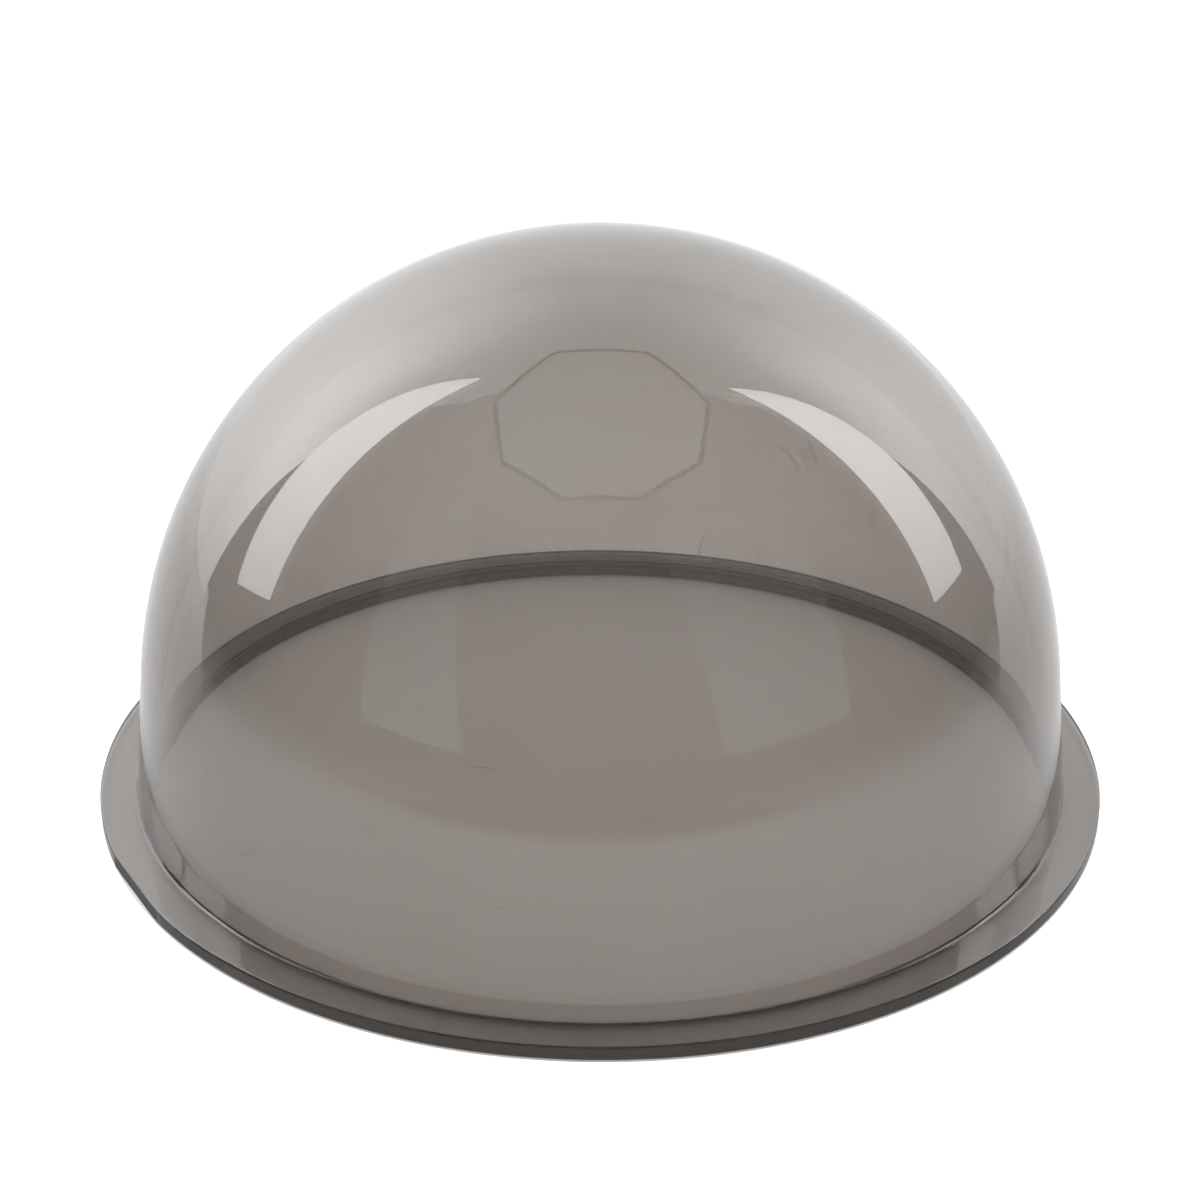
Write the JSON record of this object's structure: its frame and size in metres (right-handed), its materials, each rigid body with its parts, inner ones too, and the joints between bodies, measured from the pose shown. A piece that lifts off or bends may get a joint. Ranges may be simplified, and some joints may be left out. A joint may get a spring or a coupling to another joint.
{
  "type": "camera dome cover",
  "caption": "Smoke-tinted transparent dome cover: a half-round dome on a short drafted skirt, with a flat clamping flange round its open mouth.",
  "frame": {"origin": "centre of the flange's underside, on the dome's axis", "axes": "+Z along the dome's axis, from the open mouth to the top of the dome; the trimmed gate flat on the rim faces 150 degrees clockwise from +X, seen from above"},
  "size_m": [0.16, 0.16, 0.088],
  "materials": {
    "smoked_polycarbonate": "clear smoke-grey tint, polished moulded gloss"
  },
  "bodies": {
    "root": {"dome_cover": "smoked_polycarbonate"}
  },
  "joints": []
}
